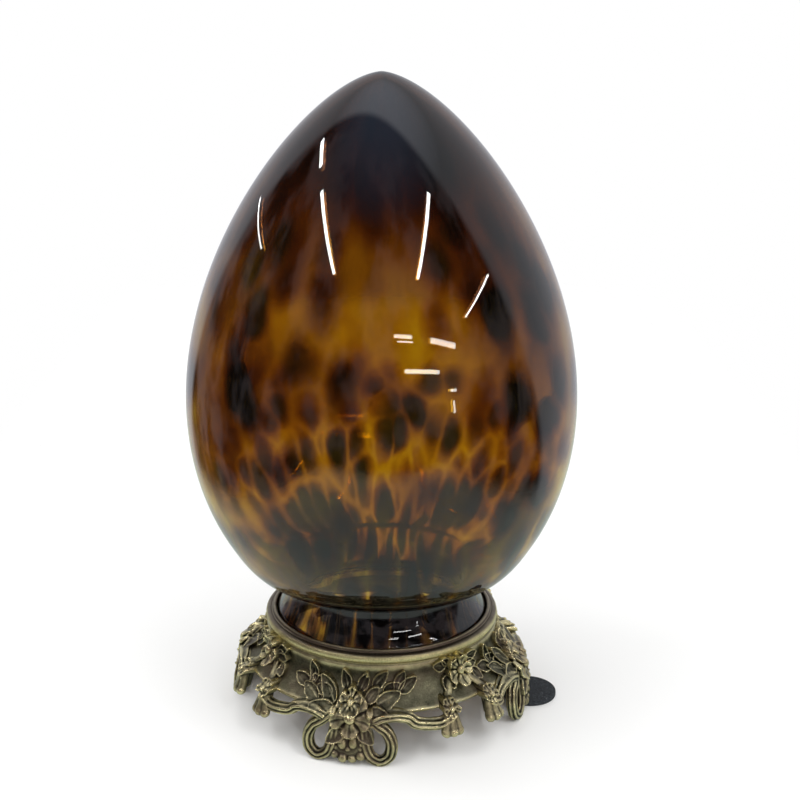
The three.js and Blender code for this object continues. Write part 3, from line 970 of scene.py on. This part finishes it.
def makeGlassMaterial():
    g = glassFinish
    material, tree, shader = newMaterial("tortoiseshellGlass")
    place = objectPlace(tree)
    along = addNode(tree, "ShaderNodeAttribute", attribute_name="alongSkin")
    axes = split(tree, place)
    height = axes["Z"]
    level = combine(tree, X=axes["X"], Y=axes["Y"])
    outwardWay = vectorMaths(tree, "NORMALIZE", level)
    wrap = remap(tree, along.outputs["Fac"], *g["wrapFrom"], *g["wrapRadius"], smooth=True)
    onSkin = vectorMaths(tree, "SCALE", outwardWay, wrap)
    raised = combine(tree, Z=along.outputs["Fac"])
    skinPlace = vectorMaths(tree, "ADD", onSkin, raised)
    drift = noiseAt(tree, skinPlace, g["driftScale"])
    centred = vectorMaths(tree, "SUBTRACT", drift.outputs["Color"], (0.5, 0.5, 0.5))
    pushed = vectorMaths(tree, "MULTIPLY_ADD", centred, g["driftReach"], skinPlace)
    shrunk = vectorMaths(tree, "DIVIDE", pushed, (g["spotWidth"], g["spotWidth"], g["spotLength"]))
    cells, borders = [addNode(tree, "ShaderNodeTexVoronoi", {"Vector": shrunk, "Scale": 1.0},
                              feature=feature) for feature in ("F1", "DISTANCE_TO_EDGE")]
    chance = split(tree, cells.outputs["Color"])
    moved = vectorMaths(tree, "ADD", skinPlace, g["patchShift"])
    cloud = noiseAt(tree, moved, g["patchScale"])
    patches = times(tree, minus(tree, cloud.outputs["Fac"], g["patchMiddle"]), g["patchStrength"])
    # High up: scattered brown spots
    spot = remap(tree, cells.outputs["Distance"], *g["spotFade"], smooth=True)
    bare = remap(tree, chance["X"], *g["bareCells"], smooth=True)
    scattered = maths(tree, "MAXIMUM", spot, bare)
    # Low down: a pale net between dark cells
    thin = remap(tree, borders.outputs["Distance"], *g["thinVeins"], smooth=True)
    wide = remap(tree, cells.outputs["Distance"], *g["wideVeins"], smooth=True)
    veins = plus(tree, times(tree, thin, remap(tree, cloud.outputs["Fac"], *g["veinClouds"])), wide)
    low = remap(tree, height, *g["netHeight"], smooth=True)
    light = plus(tree, times(tree, scattered, minus(tree, 1.0, low)), times(tree, veins, low))
    light = plus(tree, light, times(tree, patches, remap(tree, low, 0.0, 1.0, 1.0, g["netPatches"])))
    # Dark crown, and painted shade darkening the glass towards the neck
    crown = remap(tree, height, *g["crownFade"], smooth=True)
    foot = remap(tree, height, *g["neckShadeFade"], smooth=True)
    light = minus(tree, times(tree, light, crown), foot)
    tints = [g[name] for name in ("black", "dark", "brown", "amber", "gold")]
    feed(tree, shader.inputs["Base Color"], ramp(tree, light, zip(g["tones"], tints)))
    for socket, value in (("Roughness", g["roughness"]), ("IOR", g["index"]), ("Transmission Weight", 1.0)):
        feed(tree, shader.inputs[socket], value)
    return material


brassFinish = {
    # The ramp runs from dark patina with painted shade in the recesses, through the body colour, to rubbed
    # wear with painted highlight on edges and raised ornament
    "patinaAndShade": (0.010, 0.012, 0.008),
    "body": (0.146, 0.137, 0.086),
    "wornAndHighlight": (0.90, 0.79, 0.44),
    "blush": (0.31, 0.22, 0.17),
    "beadGold": (0.78, 0.70, 0.36),
    "beadHeights": (0.0488, 0.0500),
    "beadShare": 0.75,
    "lip": (0.130, 0.098, 0.074),
    "lipHeights": (0.0534, 0.0545),
    "lipShare": 0.72,
    "mottleScale": 130.0,
    "mottleDetail": (4.0, 0.6),
    "mottleShare": 0.55,
    "grainScale": 1300.0,
    "grainDetail": (3.0, 0.7),
    "grainShare": 0.35,
    "edges": (0.462, 0.540),
    "edgeShare": 0.88,
    "reliefWearAndLight": (0.0008, 0.0062, -0.04, 0.16),
    "wearAndLightTones": (0.16, 0.46, 1.0),
    "blushScale": 42.0,
    "blushPatches": (0.46, 0.66, 0.0, 0.42),
    "blushShare": 0.5,
    "gildedGrain": (0.38, 0.55, 0.55, 1.0),
    "roughness": (0.2, 0.9, 0.50, 0.24),
    "pitStrength": 0.5,
    "pitDepth": 0.0004,
}


def makeBrassMaterial():
    b = brassFinish
    material, tree, shader = newMaterial("antiqueBrass")
    place = objectPlace(tree)
    geometry = addNode(tree, "ShaderNodeNewGeometry")
    relief = addNode(tree, "ShaderNodeAttribute", attribute_name="relief")
    axes = split(tree, place)
    mottled = noiseAt(tree, place, b["mottleScale"], *b["mottleDetail"])
    grain = noiseAt(tree, place, b["grainScale"], *b["grainDetail"])
    # Convex edges (pointiness) and raised ornament (relief) turn towards the worn colour, rubbed wear with
    # painted highlight; hollows turn towards the darkest colour, patina with painted shade
    edge = remap(tree, geometry.outputs["Pointiness"], *b["edges"])
    high = remap(tree, relief.outputs["Fac"], *b["reliefWearAndLight"])
    wearAndLight = plus(tree, times(tree, edge, b["edgeShare"]), high)
    for noise, share in ((mottled, b["mottleShare"]), (grain, b["grainShare"])):
        wearAndLight = plus(tree, wearAndLight, times(tree, minus(tree, noise.outputs["Fac"], 0.5), share))
    colour = ramp(tree, wearAndLight, zip(b["wearAndLightTones"], (b["patinaAndShade"], b["body"], b["wornAndHighlight"])))
    warm = remap(tree, noiseAt(tree, place, b["blushScale"]).outputs["Fac"], *b["blushPatches"])
    colour = mixColours(tree, warm, colour, b["blush"], blend="MULTIPLY")
    colour = mixColours(tree, times(tree, warm, b["blushShare"]), colour, b["blush"])
    height = axes["Z"]
    onBead = remap(tree, height, *b["beadHeights"], 0.0, b["beadShare"])
    onLip = remap(tree, height, *b["lipHeights"], 0.0, b["lipShare"])
    colour = mixColours(tree, onLip, colour, b["lip"])
    belowLip = remap(tree, height, *b["lipHeights"][::-1])
    gilded = times(tree, times(tree, onBead, belowLip),
                   remap(tree, grain.outputs["Fac"], *b["gildedGrain"]))
    colour = mixColours(tree, gilded, colour, b["beadGold"])
    feed(tree, shader.inputs["Base Color"], colour)
    feed(tree, shader.inputs["Metallic"], 1.0)
    feed(tree, shader.inputs["Roughness"], remap(tree, wearAndLight, *b["roughness"]))
    roughen(tree, shader, grain, b["pitStrength"], b["pitDepth"])
    return material


feltFinish = {
    "hollow": (0.006, 0.008, 0.011),
    "fibre": (0.030, 0.035, 0.042),
    "lint": (0.150, 0.160, 0.170),
    "tones": (0.38, 0.62, 0.70),
    "fuzzScale": 1100.0,
    "fuzzDetail": (3.0, 0.8),
    "fuzzStrength": 0.6,
    "fuzzDepth": 0.0006,
    "roughness": 0.9,
}


def makeFeltMaterial():
    f = feltFinish
    material, tree, shader = newMaterial("blackFelt")
    fuzz = noiseAt(tree, objectPlace(tree), f["fuzzScale"], *f["fuzzDetail"])
    colour = ramp(tree, fuzz.outputs["Fac"], zip(f["tones"], (f["hollow"], f["fibre"], f["lint"])))
    feed(tree, shader.inputs["Base Color"], colour)
    feed(tree, shader.inputs["Roughness"], f["roughness"])
    roughen(tree, shader, fuzz, f["fuzzStrength"], f["fuzzDepth"])
    return material


# Table, light and camera, laid out as the camera sees them

studio = {
    "viewTurn": 12.3,
    "cameraDistance": 0.74205,
    "cameraHeight": 0.4018,
    "cameraPitch": 16.789,
    "lens": 63.0,
    "sensorWidth": 36.0,
    "shift": 0.023,
    "strips": [(-1.25, 0.0, 0.5, 1.0), (-1.25, -1.74, -0.38, 1.0), (0.97, -1.94, -0.6, 1.0),
               (-3.5, 0.7, 3.2, 0.5), (3.25, -2.3, -0.55, 1.0)],
    "lampHeight": 1.8,
    "lampWidth": 0.07,
    "lampRadiance": 42.0,
    "farDistance": 3.2,
    "farRadiance": 14.0,
    "aimHeight": 0.22,
    "farLamps": [(13, 21.5, 0.56, 0.06, -5), (37, 17.5, 0.82, 0.09, -14), (23, 10.8, 1.10, 0.07, -5),
                 (40, 3.6, 0.20, 0.05, -3), (40, -1.5, 0.06, 0.22, 3), (14, 20.0, 0.5, 0.025, -5)],
    "tableColour": (0.95, 0.95, 0.95),
    "tableMirrored": (0.56, 0.62, 0.57),
    "tableLeft": -0.36,
    "tableRight": 0.38,
    "tableFront": -0.56,
    "tableBack": 1.15,
    "tableFade": 0.16,
    "tableRoughness": 0.6,
    "brightSide": (0.30, 0.80, 0.35),
    "brightEdge": (0.31, 0.39),
    "brightRoom": (0.70, 0.71, 0.76),
    "brightCeiling": (1.52, 1.60, 1.84),
    "darkRoom": (0.03, 0.022, 0.022),
    "greyRoom": (0.36, 0.30, 0.31),
    "hallScale": 3.2,
    "hallDetail": (4.0, 0.55),
    "hallContrast": (0.44, 0.60),
    "darkCeiling": (0.34, 0.42, 0.62),
    "ceilingClimb": (0.78, 0.99),
    "softLight": (0.98, 0.98, 0.97),
    "seenThrough": (0.42, 0.41, 0.40),
}


def fromView(x, y, z):
    turn = math.radians(studio["viewTurn"])
    return Vector((x * math.cos(turn) - y * math.sin(turn), x * math.sin(turn) + y * math.cos(turn), z))


def makeCamera():
    camera = bpy.data.cameras.new("photographCamera")
    camera.lens = studio["lens"]
    camera.sensor_width = studio["sensorWidth"]
    camera.shift_x = studio["shift"]
    holder = bpy.data.objects.new("photographCamera", camera)
    holder.location = fromView(0, -studio["cameraDistance"], studio["cameraHeight"])
    holder.rotation_euler = (math.radians(90 - studio["cameraPitch"]), 0, math.radians(studio["viewTurn"]))
    scene.collection.objects.link(holder)
    scene.camera = holder


def addLamp(name, place, size, radiance, aim=None):
    lamp = bpy.data.lights.new(name, "AREA")
    lamp.shape = "RECTANGLE"
    lamp.size, lamp.size_y = size
    lamp.energy = radiance * math.pi * size[0] * size[1]
    holder = bpy.data.objects.new(name, lamp)
    holder.location = place
    if aim is None:
        holder.rotation_euler = (0, 0, math.radians(studio["viewTurn"]))
    else:
        holder.rotation_euler = (Vector(aim) - Vector(place)).to_track_quat("-Z", "Y").to_euler()
    scene.collection.objects.link(holder)
    return holder


# Strips overhead: place across, near end, far end, share of the radiance.
# Far lamps: turn, climb, width, height, lean.
def makeLights():
    s = studio
    for number, (x, near, far, share) in enumerate(s["strips"]):
        place = fromView(x, (near + far) / 2, s["lampHeight"])
        addLamp(f"strip{number + 1}", place, (s["lampWidth"], far - near), s["lampRadiance"] * share)
    reach, middle = s["farDistance"], s["aimHeight"]
    for number, (azimuth, elevation, width, height, lean) in enumerate(s["farLamps"]):
        turn, climb = math.radians(azimuth), math.radians(elevation)
        flat = reach * math.cos(climb)
        place = fromView(flat * math.sin(turn), -flat * math.cos(turn), middle + reach * math.sin(climb))
        lamp = addLamp(f"farLamp{number + 1}", place, (width, height), s["farRadiance"], aim=(0, 0, middle))
        lamp.rotation_euler.rotate_axis("Z", math.radians(lean))


def makeWorld():
    s = studio
    world = bpy.data.worlds.new("softStudio")
    world.use_nodes = True
    tree = world.node_tree
    tree.nodes.clear()
    path = addNode(tree, "ShaderNodeLightPath")
    sky = addNode(tree, "ShaderNodeTexCoord")
    facing = vectorMaths(tree, "DOT_PRODUCT", sky.outputs["Generated"], tuple(fromView(*s["brightSide"])))
    bright = remap(tree, facing, *s["brightEdge"], smooth=True)
    way = split(tree, sky.outputs["Generated"])
    climb = remap(tree, way["Z"], *s["ceilingClimb"])
    hall = noiseAt(tree, sky.outputs["Generated"], s["hallScale"], *s["hallDetail"])
    hallLight = remap(tree, hall.outputs["Fac"], *s["hallContrast"], smooth=True)
    dark = mixColours(tree, hallLight, s["darkRoom"], s["greyRoom"])
    mirrored = mixColours(tree, bright, mixColours(tree, climb, dark, s["darkCeiling"]),
                          mixColours(tree, climb, s["brightRoom"], s["brightCeiling"]))
    shade = mixColours(tree, path.outputs["Is Glossy Ray"], s["softLight"], mirrored)
    shade = mixColours(tree, path.outputs["Is Transmission Ray"], shade, s["seenThrough"])
    shade = mixColours(tree, path.outputs["Is Camera Ray"], shade, (1.0, 1.0, 1.0))
    background = addNode(tree, "ShaderNodeBackground", {"Color": shade})
    addNode(tree, "ShaderNodeOutputWorld", {"Surface": background.outputs[0]})
    scene.world = world


def makeTable():
    s = studio
    left, right, front, back = s["tableLeft"], s["tableRight"], s["tableFront"], s["tableBack"]
    corners = [fromView(x, y, 0.0) for x, y in ((left, front), (right, front), (right, back), (left, back))]
    mesh = bpy.data.meshes.new("table")
    mesh.from_pydata([tuple(c) for c in corners], [], [(0, 1, 2, 3)])
    table = bpy.data.objects.new("table", mesh)
    scene.collection.objects.link(table)
    material, tree, shader = newMaterial("paleTable")
    path = addNode(tree, "ShaderNodeLightPath")
    feed(tree, shader.inputs["Base Color"],
         mixColours(tree, path.outputs["Is Glossy Ray"], s["tableColour"], s["tableMirrored"]))
    feed(tree, shader.inputs["Roughness"], s["tableRoughness"])
    place = objectPlace(tree, turn=-math.radians(s["viewTurn"]))
    axes = split(tree, place)
    cover = 1.0
    for axis, low, high in (("X", left, right), ("Y", front, back)):
        for edge, way in ((low, 1), (high, -1)):
            fade = remap(tree, axes[axis], edge, edge + way * s["tableFade"], smooth=True)
            cover = times(tree, cover, fade)
    feed(tree, shader.inputs["Alpha"], cover)
    mesh.materials.append(material)
    return table


scene.view_settings.view_transform = "Standard"
scene.view_settings.look = "None"

glass = makeGlassMaterial()
brass = makeBrassMaterial()
felt = makeFeltMaterial()
turnedShape = makeTurnedTree()
castTrees = (makeStrapTree(), makeCastTree())

pieces = {
    "glassEgg": (makeGlassEgg(turnedShape, glass), "glass_egg", "tortoiseshell_glass"),
    "standRing": (makeStandRing(turnedShape, brass), "cast_stand", "antique_brass"),
    "feltPad": (makeFeltPad(turnedShape, felt), "felt_pad", "black_felt"),
}
print("egg, ring and pad turned")
garlandAngle = garland["angle"]
casts = {
    "frontBouquets": (drawBouquet(garlandAngle), (2, 0.0, 0.0)),
    "sideBouquets": (drawBouquet(90 - garlandAngle), (2, 90.0, 0.0)),
    "garlands": (drawGarland(), (4, 45.0, garlandAngle - 45)),
}
for name, (motif, places) in casts.items():
    pieces[name] = (castOrnament(name, motif, castTrees, places, brass), "cast_stand", "antique_brass")
    print(name, "cast")

for piece, node, slot in pieces.values():
    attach(piece, "root")
    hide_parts(node)
    print(piece.name, len(piece.data.polygons), "faces")

makeTable()
makeLights()
makeWorld()
makeCamera()
print("table, lights and camera set")
